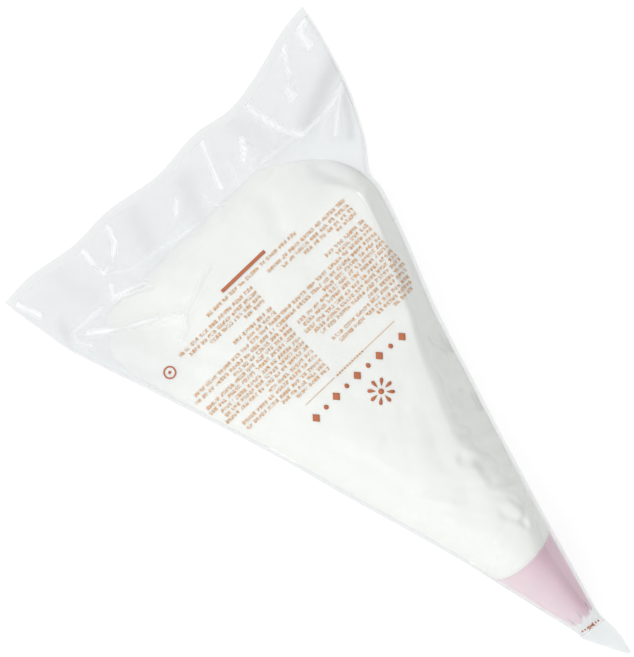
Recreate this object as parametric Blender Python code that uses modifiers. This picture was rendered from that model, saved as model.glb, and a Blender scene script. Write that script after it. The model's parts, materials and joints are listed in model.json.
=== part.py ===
"""Filled, heat-sealed piping bag with a star nozzle in its tip, lying flat on a table.

The bag is two sheets of clear film welded along both long sides and across the mouth. Whipped
cream fills it from the nozzle to a free flap of empty film, and the film beyond the nozzle is a
flat tail that is cut off before use. +Z is up, +Y points at the mouth and -Y at the tip. The
origin is on the table, under the middle of the bag.

Sizes are in millimetres. "s" is the distance from the tip along the bag, x is across it.
"""
import math

import bmesh
import bpy
from mathutils import Matrix, Vector

MM = 0.001
COLLECTION = "piping_bag"

# Overall box and the sheet that the bag is made of.
X_MIDDLE = -1.1
LENGTH = 463.3
FILM = 0.3
GAP = 0.3
STACK_HALF = FILM + GAP / 2
FILL_INSET = 0.75

# Cone of the nozzle: it lies on its side, so the axis leans by the cone's half angle.
CONE_ANGLE = math.radians(13.5)
CONE_APEX_S = 3.0
CONE_X = -6.5
CONE_LIFT = 1.0
RIM_SLANT = 101.5
END_SLANT = 39.7
NOZZLE_WALL = 1.2
RIM_BEAD = 0.35
TOOTH_COUNT = 8
TOOTH_DEPTH = 9.0
TOOTH_NOTCH = 3.6
TOOTH_ROOT = 0.6
NOZZLE_SIDES = 48
FILM_ROUND_NOZZLE = 0.9

# Folds that act as hinges: across the flap, and across the tail.
FLAP_FOLD_S = 410.0
FLAP_FOLD_Z = 3.0
TAIL_FOLD_S = 28.0
TAIL_FOLD_Z = 1.6
TAIL_SKEW = 0.167
SKEW_END_S = 40.0
FOLD_CLEARANCE = 1.2

# Welded margins.
WELD_AT_NOZZLE = 0.7
WELD_AT_BAG = 1.5
SEAL_WIDTH = 6.0
SEAL_GAP = 0.7

# Outline of the welded bag, seen from above: s, left edge, right edge.
OUTLINE = (
    (27.0, -16.8, 3.6),
    (34.0, -16.6, 3.3),
    (45.0, -18.85, 5.85),
    (60.0, -22.8, 9.7),
    (75.0, -26.5, 13.5),
    (101.2, -33.0, 20.2),
    (125.0, -39.2, 26.9),
    (165.0, -51.5, 38.0),
    (205.0, -64.2, 49.7),
    (255.0, -79.1, 64.4),
    (305.0, -95.8, 82.9),
    (338.0, -107.6, 93.6),
    (352.0, -112.6, 95.4),
    (368.0, -118.8, 107.0),
    (385.0, -125.0, 116.0),
    (405.0, -132.0, 124.9),
    (425.0, -135.8, 131.0),
    (445.0, -139.6, 136.1),
    (463.3, -142.2, 139.0),
)

# Filled tube: s, left and right end of the bulge, top, seam and underside heights, and how
# square the right shoulder is (2 is an ellipse).
BULGE_BEHIND_NOZZLE = (
    (101.2, -31.7, 18.7, 48.6, 23.0, 0.0, 2.0),
    (125.0, -37.3, 25.0, 46.5, 19.0, 0.0, 2.1),
    (165.0, -49.3, 35.8, 44.5, 16.5, 0.0, 2.3),
    (205.0, -62.0, 47.5, 46.0, 15.0, 0.0, 2.5),
    (255.0, -76.9, 62.2, 47.0, 14.0, 0.0, 2.8),
    (305.0, -93.6, 80.7, 42.0, 12.0, 0.0, 3.0),
    (338.0, -105.2, 91.0, 34.0, 9.5, 0.0, 2.8),
    (352.0, -109.9, 91.5, 29.0, 8.0, 0.0, 2.6),
    (368.0, -114.0, 87.0, 22.0, 6.2, 0.0, 2.4),
    (385.0, -112.0, 73.0, 14.0, 4.6, 0.0, 2.2),
    (404.0, -98.0, 44.0, 5.2, 3.2, 0.6, 2.0),
    (408.8, -94.0, 36.0, 3.45, 3.0, 2.55, 2.0),
)
FLAT_BOTTOM = 1.35
ROUND_BOTTOM_S = 101.2
FLAT_BOTTOM_S = 150.0

# Mouth edge, seen from above: x, s.
MOUTH_EDGE = (
    (-141.2, 457.0),
    (-117.0, 458.0),
    (-82.0, 453.0),
    (-49.0, 454.0),
    (-10.0, 448.3),
    (28.0, 451.0),
    (57.0, 446.8),
    (85.0, 451.5),
    (118.0, 460.8),
    (139.0, 463.3),
)

# Rows of the lofts, and their points across.
NECK_ROWS = (29.2, 33.0, 35.8, 38.4)
NOZZLE_ROWS = (50.0, 66.0, 82.0, 94.0, 101.2)
BAG_ROWS = (107.0, 115.0, 125.0, 144.0, 165.0, 185.0, 205.0, 230.0, 255.0, 280.0, 305.0, 322.0,
            338.0, 352.0, 368.0, 378.0, 387.0, 396.0, 404.0)
ARC_STEPS = 16
FLAP_ROWS = 6
FLAP_COLUMNS = 24
TAIL_ROWS = 5

FILM_LOOK = ((0.86, 0.87, 0.87, 0.35), 0.18)
WELD_LOOK = ((0.90, 0.91, 0.91, 0.55), 0.25)
CREAM_LOOK = ((0.89, 0.90, 0.87, 1.0), 0.60)
NOZZLE_LOOK = ((0.80, 0.58, 0.66, 1.0), 0.35)


def smooth_row(rows, place):
    """Row of a table at a place in its first column, on a smooth curve through the rows."""
    last = len(rows) - 1
    index = 0
    while index < last - 1 and place > rows[index + 1][0]:
        index += 1
    before, low = rows[max(index - 1, 0)], rows[index]
    high, after = rows[index + 1], rows[min(index + 2, last)]
    span = high[0] - low[0]
    t = min(max((place - low[0]) / span, 0.0), 1.0)
    result = []
    for a, b, c, d in zip(before, low, high, after):
        start_slope = (c - a) / (high[0] - before[0])
        end_slope = (d - b) / (after[0] - low[0])
        result.append(
            (2 * t**3 - 3 * t**2 + 1) * b
            + (t**3 - 2 * t**2 + t) * span * start_slope
            + (3 * t**2 - 2 * t**3) * c
            + (t**3 - t**2) * span * end_slope
        )
    return result


def ramp(value, start, end):
    """0 before start, 1 after end, straight between."""
    return min(max((value - start) / (end - start), 0.0), 1.0)


def place(x, s, z):
    """Point in metres, in the bag's own frame."""
    return Vector(((x - X_MIDDLE) * MM, (s - LENGTH / 2) * MM, z * MM))


def skewed(x, s):
    """Distance from the tip after the neck's rows are turned parallel to the tail's fold."""
    return s - TAIL_SKEW * (x - CONE_X) * (1.0 - ramp(s, TAIL_FOLD_S, SKEW_END_S))


def edges(s):
    """Left and right edge of the welded outline."""
    return smooth_row(OUTLINE, s)[1:]


def weld_width(s):
    return WELD_AT_NOZZLE + (WELD_AT_BAG - WELD_AT_NOZZLE) * ramp(s, ROUND_BOTTOM_S, FLAT_BOTTOM_S)


def bulge_on_cone(s):
    """Bulge of the film where it is stretched round the nozzle."""
    run = s - CONE_APEX_S
    slope = math.tan(CONE_ANGLE)
    half = run * slope / math.sqrt(1.0 - slope**2) + FILM_ROUND_NOZZLE
    top = run * math.tan(2.0 * CONE_ANGLE) + CONE_LIFT + FILM_ROUND_NOZZLE
    return (s, CONE_X - half, CONE_X + half, top, top / 2.0, 0.0, 2.0)


def bulge_rows():
    neck = (
        (29.2, -15.2, 2.0, TAIL_FOLD_Z + STACK_HALF, TAIL_FOLD_Z, TAIL_FOLD_Z - STACK_HALF, 2.0),
        (33.0, -15.2, 2.0, 9.8, 5.2, 0.3, 2.0),
    )
    cone = tuple(bulge_on_cone(s) for s in (38.4, 50.0, 70.0, 94.0))
    return neck + cone + BULGE_BEHIND_NOZZLE


BULGE = bulge_rows()


def arc(s, inset, up):
    """Half of the filled tube's section at s, from its left end to its right end, as (x, z)."""
    _, left, right, top, seam, floor, square = smooth_row(BULGE, s)
    floor = max(floor, 0.0)
    middle = (left + right) / 2.0
    half = (right - left) / 2.0 - inset
    foot = 0.0 if inset else STACK_HALF
    flat = 1.0 + (FLAT_BOTTOM - 1.0) * ramp(s, ROUND_BOTTOM_S, FLAT_BOTTOM_S)
    points = []
    for step in range(ARC_STEPS + 1):
        angle = math.pi * (1.0 - step / ARC_STEPS)
        power = 2.0 / (square if angle < math.pi / 2 else 2.0)
        across = abs(math.cos(angle)) ** power * math.copysign(1.0, math.cos(angle))
        rise = max(math.sin(angle), 0.0) ** power
        if up:
            z = seam + foot + (top - inset - seam - foot) * rise
        else:
            z = seam - foot - (seam - foot - floor - inset) * min(1.0, flat * rise)
        points.append((middle + half * across, z))
    return points


def new_object(name, mesh_builder, look):
    """Mesh object with its own material, from a bmesh."""
    mesh = bpy.data.meshes.new(name)
    mesh_builder.to_mesh(mesh)
    mesh_builder.free()
    mesh.shade_smooth()
    mesh.set_sharp_from_angle(angle=math.radians(35))
    part = bpy.data.objects.new(name, mesh)
    bpy.data.collections[COLLECTION].objects.link(part)
    colour, roughness = look
    material = bpy.data.materials.new(name)
    material.use_nodes = True
    shader = material.node_tree.nodes["Principled BSDF"]
    shader.inputs["Base Color"].default_value = colour[:3] + (1.0,)
    shader.inputs["Alpha"].default_value = colour[3]
    shader.inputs["Roughness"].default_value = roughness
    shader.inputs["Metallic"].default_value = 0.0
    material.diffuse_color = colour
    mesh.materials.append(material)
    return part


def grid(rows, flip=False):
    """Open sheet lofted through rows of points of equal length."""
    builder = bmesh.new()
    lines = [[builder.verts.new(point) for point in row] for row in rows]
    for low, high in zip(lines, lines[1:]):
        for index in range(len(low) - 1):
            corners = (low[index], low[index + 1], high[index + 1], high[index])
            builder.faces.new(corners[::-1] if flip else corners)
    return builder


def thicken(part, thickness, offset):
    """Gives an open sheet its wall."""
    wall = part.modifiers.new("wall", "SOLIDIFY")
    wall.thickness = thickness * MM
    wall.offset = offset
    wall.use_even_offset = True
    return part


def pivot(part, position):
    """Moves the object's origin to a point on its joint's axis, and leaves its shape in place."""
    part.data.transform(Matrix.Translation(-position))
    part.location = position
    return part


def body_film(name, up):
    """One sheet of the bag from the tail's fold to the flap's fold."""
    rows = []
    for s in NECK_ROWS + NOZZLE_ROWS + BAG_ROWS + (FLAP_FOLD_S - FOLD_CLEARANCE,):
        left, right = edges(s)
        inner = weld_width(s) + GAP
        curve = arc(s, 0.0, up)
        seam = smooth_row(BULGE, s)[4] + (STACK_HALF if up else -STACK_HALF)
        line = [(left + inner, seam)] + curve + [(right - inner, seam)]
        rows.append([place(x, skewed(x, s), z) for x, z in line])
    sheet = new_object(name, grid(rows, flip=not up), FILM_LOOK)
    return thicken(sheet, FILM, -1.0)


def side_weld(name, side):
    """Fused margin where the two sheets are welded along one long side."""
    rows = []
    for s in NECK_ROWS + NOZZLE_ROWS + BAG_ROWS + (FLAP_FOLD_S - FOLD_CLEARANCE,):
        edge = edges(s)[side]
        inner = edge + weld_width(s) * (1 if side == 0 else -1)
        seam = smooth_row(BULGE, s)[4]
        rows.append([place(x, skewed(x, s), seam) for x in sorted((edge, inner))])
    return thicken(new_object(name, grid(rows), WELD_LOOK), 2 * FILM, 0.0)


def flap_height(x, s):
    """Height of the empty flap's middle plane, which lies in shallow waves."""
    rise = ramp(s, FLAP_FOLD_S + FOLD_CLEARANCE, LENGTH) ** 1.5
    return FLAP_FOLD_Z + rise * (1.5 + 2.0 * math.sin(x / 22.0))


def mouth_edge(x):
    return smooth_row(MOUTH_EDGE, x)[1]


def flap_corner(t, side, depth):
    """Outer edge of the flap on one side, as (x, s): t is 0 at the fold, 1 at the mouth's seal."""
    near = FLAP_FOLD_S + FOLD_CLEARANCE
    s = (1 - t) * near + t * (MOUTH_EDGE[-side][1] - depth)
    return edges(s)[side], s


def flap_sheet(name, up):
    """One sheet of the empty flap, from its fold to the mouth's heat seal."""
    inner = WELD_AT_BAG + 2 * GAP
    near = FLAP_FOLD_S + FOLD_CLEARANCE
    depth = SEAL_WIDTH + SEAL_GAP
    rows = []
    for step in range(FLAP_ROWS + 1):
        t = step / FLAP_ROWS
        left = flap_corner(t, 0, depth)[0] + inner
        right = flap_corner(t, 1, depth)[0] - inner
        row = []
        for column in range(FLAP_COLUMNS + 1):
            x = left + (right - left) * column / FLAP_COLUMNS
            s = (1 - t) * near + t * (mouth_edge(x) - depth)
            row.append(place(x, s, flap_height(x, s) + (STACK_HALF if up else -STACK_HALF)))
        rows.append(row)
    sheet = new_object(name, grid(rows, flip=not up), FILM_LOOK)
    thicken(sheet, FILM, -1.0)
    return pivot(sheet, place(X_MIDDLE, FLAP_FOLD_S, FLAP_FOLD_Z))


def flap_weld(name, side):
    """Welded side margin of the flap."""
    rows = []
    for step in range(FLAP_ROWS + 1):
        edge, s = flap_corner(step / FLAP_ROWS, side, SEAL_WIDTH + SEAL_GAP)
        inner = edge + WELD_AT_BAG * (1 if side == 0 else -1)
        rows.append([place(x, s, flap_height(x, s)) for x in sorted((edge, inner))])
    weld = thicken(new_object(name, grid(rows), WELD_LOOK), 2 * FILM, 0.0)
    return pivot(weld, place(X_MIDDLE, FLAP_FOLD_S, FLAP_FOLD_Z))


def mouth_seal():
    """Heat seal that closes the mouth along its wavy edge."""
    corners = (MOUTH_EDGE[0][0], MOUTH_EDGE[-1][0])
    rows = []
    for depth in (SEAL_WIDTH, SEAL_WIDTH / 2, 0.0):
        row = []
        for column in range(FLAP_COLUMNS + 1):
            u = column / FLAP_COLUMNS
            narrow = depth / SEAL_WIDTH
            x = (corners[0] + narrow) * (1 - u) + (corners[1] - narrow) * u
            s = mouth_edge(x) - depth
            row.append(place(x, s, flap_height(x, s)))
        rows.append(row)
    seal = thicken(new_object("mouth_heat_seal", grid(rows), WELD_LOOK), 2 * FILM, 0.0)
    return pivot(seal, place(X_MIDDLE, FLAP_FOLD_S, FLAP_FOLD_Z))


def tail_sheet(name, up):
    """One sheet of the flat tail beyond the nozzle, from its fold to the pointed tip."""
    offset = STACK_HALF if up else -STACK_HALF
    near_left, near_right = edges(TAIL_FOLD_S)
    rows = []
    for step in range(TAIL_ROWS + 1):
        t = 1.0 - step / TAIL_ROWS
        near = TAIL_FOLD_S - FOLD_CLEARANCE
        left = -1.0 + t * (near_left + 1.0)
        right = 1.2 + t * (near_right - 1.2) + 1.2 * math.sin(math.pi * t)
        row = []
        for column in range(5):
            x = left + (right - left) * column / 4
            s = t * (near - TAIL_SKEW * (x - CONE_X))
            row.append(place(x, s, TAIL_FOLD_Z - 0.4 * (1.0 - t) + offset))
        rows.append(row)
    sheet = new_object(name, grid(rows, flip=not up), FILM_LOOK)
    thicken(sheet, FILM, -1.0)
    return pivot(sheet, place(CONE_X, TAIL_FOLD_S, TAIL_FOLD_Z))


def cone_matrix():
    """Frame of the cone: its own +Z runs from the apex along the axis to the rim."""
    turn = Matrix.Rotation(-(math.pi / 2 - CONE_ANGLE), 4, "X")
    return Matrix.Translation(place(CONE_X, CONE_APEX_S, CONE_LIFT)) @ turn


def on_axis(slant):
    """Distance from the apex along the axis for a length along the cone's side."""
    return slant * math.cos(CONE_ANGLE)


def turned_profile(points):
    """Edges of a profile in the X-Z plane, in metres."""
    builder = bmesh.new()
    verts = [builder.verts.new((radius * MM, 0.0, height * MM)) for radius, height in points]
    for index, vert in enumerate(verts):
        builder.edges.new((vert, verts[(index + 1) % len(verts)]))
    return builder


def notch_cutter(index):
    """Wedge that cuts the two notches facing each other across the nozzle's end."""
    end = on_axis(END_SLANT)
    reach = 3.0 * END_SLANT * math.sin(CONE_ANGLE)
    builder = bmesh.new()
    bmesh.ops.create_cube(builder, size=1.0)
    for vert in builder.verts:
        low = vert.co.z < 0
        width = TOOTH_NOTCH if low else TOOTH_ROOT
        vert.co = Vector((
            vert.co.x * reach * MM,
            vert.co.y * width * MM,
            (end - 2.0 if low else end + TOOTH_DEPTH) * MM,
        ))
    mesh = bpy.data.meshes.new("tooth_cutter")
    builder.to_mesh(mesh)
    builder.free()
    cutter = bpy.data.objects.new(f"tooth_cutter_{index}", mesh)
    cutter.matrix_world = cone_matrix() @ Matrix.Rotation(index * 2 * math.pi / TOOTH_COUNT, 4, "Z")
    cutter.hide_render = True
    cutter.display_type = "WIRE"
    bpy.data.collections["cutters"].objects.link(cutter)
    return cutter


def star_nozzle():
    """Open cone with a beaded rim and pointed teeth round its narrow end."""
    slope = math.tan(CONE_ANGLE)
    wall = NOZZLE_WALL / math.cos(CONE_ANGLE)
    rim, end = on_axis(RIM_SLANT), on_axis(END_SLANT)
    profile = (
        (rim * slope, rim),
        (rim * slope, rim - 1.4),
        (rim * slope - RIM_BEAD - 1.9 * slope, rim - 1.9),
        (end * slope, end),
        (end * slope - wall, end),
        (rim * slope - wall, rim),
    )
    nozzle = new_object("star_nozzle", turned_profile(profile), NOZZLE_LOOK)
    nozzle.matrix_world = cone_matrix()
    turn = nozzle.modifiers.new("turn", "SCREW")
    turn.angle = 2 * math.pi
    turn.screw_offset = 0.0
    turn.axis = "Z"
    turn.steps = NOZZLE_SIDES
    turn.render_steps = NOZZLE_SIDES
    turn.use_merge_vertices = True
    turn.merge_threshold = 0.00001
    for index in range(TOOTH_COUNT // 2):
        cut = nozzle.modifiers.new(f"tooth_{index}", "BOOLEAN")
        cut.operation = "DIFFERENCE"
        cut.solver = "EXACT"
        cut.object = notch_cutter(index)
    return nozzle


def cream_ring(s, lean):
    """Closed ring of the cream at s, leaning with the nozzle's rim close behind it."""
    top, bottom = arc(s, FILL_INSET, True), arc(s, FILL_INSET, False)
    middle = smooth_row(BULGE, s)[3] / 2.0
    ring = []
    for step, (_, z) in enumerate(top):
        at = s - lean * (z - middle)
        ring.append(arc(at, FILL_INSET, True)[step] + (at,))
    for step in range(ARC_STEPS - 1, 0, -1):
        at = s - lean * (bottom[step][1] - middle)
        ring.append(arc(at, FILL_INSET, False)[step] + (at,))
    return [place(x, at, z) for x, z, at in ring]


def nozzle_ring(slant, radius):
    """Ring of cream inside the nozzle, across its axis."""
    frame = cone_matrix()
    ring = []
    for step in range(2 * ARC_STEPS):
        angle = math.pi * (1.0 - step / ARC_STEPS)
        point = Vector((radius * math.cos(angle) * MM, -radius * math.sin(angle) * MM, on_axis(slant) * MM))
        ring.append(frame @ point)
    return ring


def cream():
    """Whipped cream: a stem inside the nozzle and the body that fills the bag."""
    clear = (NOZZLE_WALL + 2 * GAP) / math.cos(CONE_ANGLE)
    stem = []
    for slant in (END_SLANT + TOOTH_DEPTH + 2.0, 60.0, RIM_SLANT + 0.6):
        stem.append(nozzle_ring(slant, slant * math.sin(CONE_ANGLE) - clear))
    lean = math.tan(CONE_ANGLE)
    rim_s = CONE_APEX_S + RIM_SLANT * math.cos(CONE_ANGLE) ** 2
    body = [cream_ring(rim_s + 1.4, lean)]
    for s in BAG_ROWS:
        body.append(cream_ring(s, lean * (1.0 - ramp(s, rim_s, 144.0))))
    builder = bmesh.new()
    rings = [[builder.verts.new(point) for point in ring] for ring in stem + body]
    for low, high in zip(rings, rings[1:]):
        for index in range(len(low)):
            after = (index + 1) % len(low)
            builder.faces.new((low[index], low[after], high[after], high[index]))
    builder.faces.new(rings[0][::-1])
    builder.faces.new(rings[-1])
    return new_object("cream_fill", builder, CREAM_LOOK)


def start_scene():
    for old in list(bpy.data.objects):
        bpy.data.objects.remove(old, do_unlink=True)
    for name in (COLLECTION, "cutters"):
        bpy.context.scene.collection.children.link(bpy.data.collections.new(name))


def main():
    start_scene()
    body_film("front_film", up=True)
    body_film("back_film", up=False)
    side_weld("left_side_weld", side=0)
    side_weld("right_side_weld", side=1)
    flap_sheet("mouth_flap_front", up=True)
    flap_sheet("mouth_flap_back", up=False)
    flap_weld("left_flap_weld", side=0)
    flap_weld("right_flap_weld", side=1)
    mouth_seal()
    tail_sheet("tail_front", up=True)
    tail_sheet("tail_back", up=False)
    star_nozzle()
    cream()


main()
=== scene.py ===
"""Filled, heat-sealed piping bag: clear film, whipped cream and a star nozzle in the tip.

Run as a script. Lengths inside the file are millimetres: s is the distance from the bag's tip
towards its mouth, x is across the bag, z is up from the table. MM turns them into metres.
"""
import json
import math
import random

import bmesh
import bpy
import numpy as np
from bpy.props import FloatProperty, FloatVectorProperty, IntProperty, PointerProperty
from mathutils import Matrix, Vector
from mathutils.bvhtree import BVHTree


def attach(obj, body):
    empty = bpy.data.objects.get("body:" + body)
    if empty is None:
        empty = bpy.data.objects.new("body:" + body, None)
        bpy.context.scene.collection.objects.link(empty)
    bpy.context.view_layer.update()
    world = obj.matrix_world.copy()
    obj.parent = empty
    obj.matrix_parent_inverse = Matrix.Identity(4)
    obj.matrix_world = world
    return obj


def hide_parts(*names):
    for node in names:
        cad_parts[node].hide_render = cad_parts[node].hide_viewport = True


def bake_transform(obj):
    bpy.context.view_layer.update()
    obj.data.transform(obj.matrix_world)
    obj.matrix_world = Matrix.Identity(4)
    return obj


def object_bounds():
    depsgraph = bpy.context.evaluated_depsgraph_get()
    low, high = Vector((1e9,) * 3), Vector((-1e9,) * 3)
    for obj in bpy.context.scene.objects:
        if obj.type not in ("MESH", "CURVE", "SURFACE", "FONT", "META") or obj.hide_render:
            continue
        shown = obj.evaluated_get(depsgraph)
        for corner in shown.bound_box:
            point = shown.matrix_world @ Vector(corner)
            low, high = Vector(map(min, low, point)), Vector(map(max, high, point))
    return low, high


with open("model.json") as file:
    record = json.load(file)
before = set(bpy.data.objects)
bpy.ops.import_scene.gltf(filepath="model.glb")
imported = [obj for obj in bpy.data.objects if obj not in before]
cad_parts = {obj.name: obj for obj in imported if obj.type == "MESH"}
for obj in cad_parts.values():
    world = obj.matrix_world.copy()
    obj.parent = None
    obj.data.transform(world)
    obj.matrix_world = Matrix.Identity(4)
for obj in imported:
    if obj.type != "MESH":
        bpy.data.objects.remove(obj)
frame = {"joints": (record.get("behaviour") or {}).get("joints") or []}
CAD_BOX = [list(corner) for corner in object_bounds()]

bl_info = {
    "name": "Filled Piping Bag",
    "version": (1, 0, 0),
    "blender": (4, 5, 0),
    "location": "View3D > Sidebar > Piping Bag",
    "description": "Builds a heat-sealed film piping bag with cream, nozzle and print",
    "category": "Object",
}

MM = 0.001
JOINTS = {joint["name"]: joint for joint in frame["joints"]}

# The bag's own ruler starts at its tip. The frame's origin lies on it at s = LENGTH / 2 and
# x = X_MIDDLE.
LENGTH = (CAD_BOX[1][1] - CAD_BOX[0][1]) / MM
X_MIDDLE = -1.1


def on_ruler(x, y, z):
    """A place in the frame, in metres, as x, s and z in millimetres."""
    return x / MM + X_MIDDLE, y / MM + LENGTH / 2, z / MM


def placed(x, s, z):
    """The inverse of on_ruler, for whole arrays of points."""
    return np.stack(((x - X_MIDDLE) * MM, (s - LENGTH / 2) * MM, z * MM), axis=-1)


_, FLAP_FOLD_S, FLAP_FOLD_Z = on_ruler(*JOINTS["mouth_flap_fold"]["pos_m"])
TAIL_FOLD_X, TAIL_FOLD_S, TAIL_FOLD_Z = on_ruler(*JOINTS["tip_tail_fold"]["pos_m"])
TAIL_SKEW = -JOINTS["tip_tail_fold"]["axis"][1] / JOINTS["tip_tail_fold"]["axis"][0]

# The tail's fold slants, and the film's rows lie square to the bag from the first s onwards. The
# tail stops a little short of the fold and ends in a blunt tip.
TAIL_STRAIGHT_S = 40.0
TAIL_GAP = 0.35
TAIL_LENGTH = 28.0
TIP_LEFT = -1.0
TIP_RIGHT = 1.2
TIP_BULGE = 1.2

# The nozzle's cone rests on the table along one side. Slants run along that side from the apex.
NOZZLE_AXIS = Vector(JOINTS["nozzle_turn"]["axis"])
CONE_ANGLE = math.asin(NOZZLE_AXIS.z)
CONE_APEX = Vector(JOINTS["nozzle_turn"]["pos_m"])
CONE_X, CONE_APEX_S, CONE_LIFT = on_ruler(*CONE_APEX)
RIM_SLANT = 101.5
END_SLANT = 39.7
NOZZLE_WALL = 1.2
FILM_ROUND_NOZZLE = 0.9
TEETH = 8
TOOTH_DEPTH = 9.0
TOOTH_GAP = 3.6
TOOTH_ROOT = 0.6

# Cream: its clearance to film and nozzle, its end towards the mouth, the end of its stem and
# the share of its rows that the stem takes.
CREAM_INSET = 0.5
STEM_CLEARANCE = 0.6
CREAM_BEHIND_RIM = 1.4
CREAM_END_S = 405.0
STEM_SLANT = 41.2
STEM_SHARE = 0.1
UPRIGHT_S = 144.0

# Outline of the welded bag, seen from above: s, left edge, right edge.
OUTLINE = (
    (27.0, -16.8, 3.6),
    (34.0, -16.6, 3.3),
    (45.0, -18.85, 5.85),
    (60.0, -22.8, 9.7),
    (75.0, -26.5, 13.5),
    (101.2, -33.0, 20.2),
    (125.0, -39.2, 26.9),
    (165.0, -51.5, 38.0),
    (205.0, -64.2, 49.7),
    (255.0, -79.1, 64.4),
    (305.0, -95.8, 82.9),
    (338.0, -107.6, 93.6),
    (352.0, -112.6, 95.4),
    (368.0, -118.8, 107.0),
    (385.0, -125.0, 116.0),
    (405.0, -132.0, 124.9),
    (425.0, -135.8, 131.0),
    (445.0, -139.6, 136.1),
    (463.3, -142.2, 139.0),
)

# Filled tube: s, left and right end of the bulge, top, seam and underside heights, and how
# square the right shoulder is (2 is an ellipse).
BULGE_BEHIND_NOZZLE = (
    (101.2, -31.7, 18.7, 48.6, 23.0, 0.0, 2.2),
    (125.0, -37.3, 25.0, 46.5, 19.0, 0.0, 2.8),
    (165.0, -49.3, 35.8, 44.5, 16.5, 0.0, 2.5),
    (205.0, -62.0, 47.5, 46.0, 15.0, 0.0, 2.5),
    (255.0, -76.9, 62.2, 47.0, 14.0, 0.0, 2.8),
    (305.0, -93.6, 80.7, 42.0, 12.0, 0.0, 3.0),
    (338.0, -105.2, 91.0, 34.0, 9.5, 0.0, 2.8),
    (352.0, -109.9, 91.5, 29.0, 8.0, 0.0, 2.6),
    (368.0, -114.0, 87.0, 22.0, 6.2, 0.0, 2.4),
    (385.0, -112.0, 73.0, 14.0, 4.6, 0.0, 2.2),
    (404.0, -98.0, 44.0, 5.2, 3.2, 0.6, 2.0),
    (408.8, -94.0, 36.0, 3.45, 3.0, 2.55, 2.0),
)
CONE_ROWS = (38.4, 50.0, 70.0, 94.0)

# The underside is round up to one s and flattened on the table from the next one onwards.
FLAT_BOTTOM = 1.35
ROUND_BOTTOM_S = 101.2
FLAT_BOTTOM_S = 150.0

# Mouth edge, seen from above: x, s.
MOUTH_EDGE = (
    (-141.2, 457.0),
    (-117.0, 458.0),
    (-82.0, 453.0),
    (-49.0, 454.0),
    (-10.0, 448.3),
    (28.0, 451.0),
    (57.0, 446.8),
    (85.0, 451.5),
    (118.0, 460.8),
    (139.0, 463.3),
)

# Width of each weld, and half the distance between the two sheets where they lie flat.
WELD_AT_NOZZLE = 0.7
WELD_AT_BAG = 1.5
SHEET_GAP = 0.45

# Shares of a sheet's rows up to the flap's fold, and of its columns in the margin of each side.
FLAT_SHARE = 0.86
MARGIN_SHARE = 0.15

# Creases of the empty film: points as x, s along the crease, height, half width, and as marks
# the whiteness of the crest, partly stress whitening and partly painted highlight, and the
# painted shade of the film beside it. The first ones meet where the mouth's right half is gathered.
CREST_WIDTH = 1.5
FLAP_FOLDS = (
    (((66, 446), (67, 433), (70.5, 419), (74, 410), (80, 401)), 2.2, 10.0, 0.9, 0.0),
    (((80, 401), (70, 404.5), (60, 405), (49, 406.5)), 1.3, 8.0, 0.25, 0.15),
    (((80, 401), (96, 401.5), (109, 402), (123, 408)), 2.0, 9.0, 0.5, 0.0),
    (((87, 404), (104, 411), (131, 422)), -1.6, 8.0, 0.0, 0.40),
    (((114.5, 460), (109, 449.5), (104.5, 442), (100, 433), (95, 424)), 1.8, 9.0, 1.0, 0.0),
    (((93.5, 430), (91.5, 423.5)), 0.8, 4.0, 0.7, 0.0),
    (((30.5, 450), (26.5, 440), (22, 429), (19, 421), (16, 413)), 2.0, 9.0, 0.85, 0.0),
    (((49, 427.5), (45, 421), (39.5, 415.5)), 1.0, 5.0, 0.9, 0.0),
    (((123, 408), (120.5, 396), (115, 383), (107, 370)), 1.2, 5.0, 0.6, 0.25),
    (((123, 408), (109.5, 397.5), (96, 386)), 1.6, 7.0, 0.45, 0.2),
    (((119, 402), (111, 388), (103, 378)), -1.2, 5.0, 0.0, 0.5),
    (((-57.5, 453.5), (-57, 444.5), (-59.5, 436), (-68.5, 428.5), (-80, 425.5)), 2.0, 8.0, 0.9, 0.0),
    (((-80, 452), (-79.5, 443), (-80.5, 435), (-80, 425.5)), 1.8, 8.0, 1.0, 0.0),
    (((-11, 427), (-17.5, 421)), 1.0, 4.0, 1.0, 0.0),
    (((-138, 459), (-135, 448), (-130, 434.5)), 1.6, 7.0, 1.1, 0.0),
    (((-124, 418.5), (-127.5, 408)), -1.3, 5.0, 0.0, 0.2),
    (((-122, 411), (-108.5, 410.5), (-97, 410)), 1.5, 6.0, 0.5, 0.0),
    (((-122, 411), (-124, 404), (-119, 396)), 1.0, 4.0, 0.4, 0.2),
    (((-115, 404), (-105.5, 397), (-95, 390), (-88, 386), (-73.5, 379)), 1.6, 6.0, 0.8, 0.0),
    (((-81.5, 416.5), (-87, 409), (-75, 403), (-63, 397.5), (-65, 402.5), (-84, 409)), 1.0, 4.0, 0.6, 0.0),
    (((-80, 425.5), (-64.5, 414.5), (-39, 411.5), (-10, 405)), 0.9, 6.0, 0.2, 0.0),
    (((2, 432), (-3, 420), (-9, 409)), -1.4, 9.0, 0.0, 0.2),
    (((52, 440), (56, 428), (58, 414)), -1.6, 9.0, 0.0, 0.15),
    (((-38, 440), (-42, 428), (-47, 412)), -1.6, 10.0, 0.0, 0.15),
    (((-102, 446), (-101, 432), (-96, 420)), -1.4, 9.0, 0.0, 0.1),
    (((38, 408), (46, 414), (48, 420)), 0.9, 4.0, 0.25, 0.0),
    (((26, 407), (30, 414), (31, 421)), 0.8, 4.0, 0.2, 0.0),
    (((8, 404), (4, 412), (5, 419)), 0.8, 4.0, 0.2, 0.0),
)

# Painted highlight: a bright curl of the film at the mouth's right corner, stored with the crest
# whitening. Points as x, s.
CORNER_PAINTED_GLARE = ((133.5, 455), (129, 458), (125, 449), (124, 441))

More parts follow.
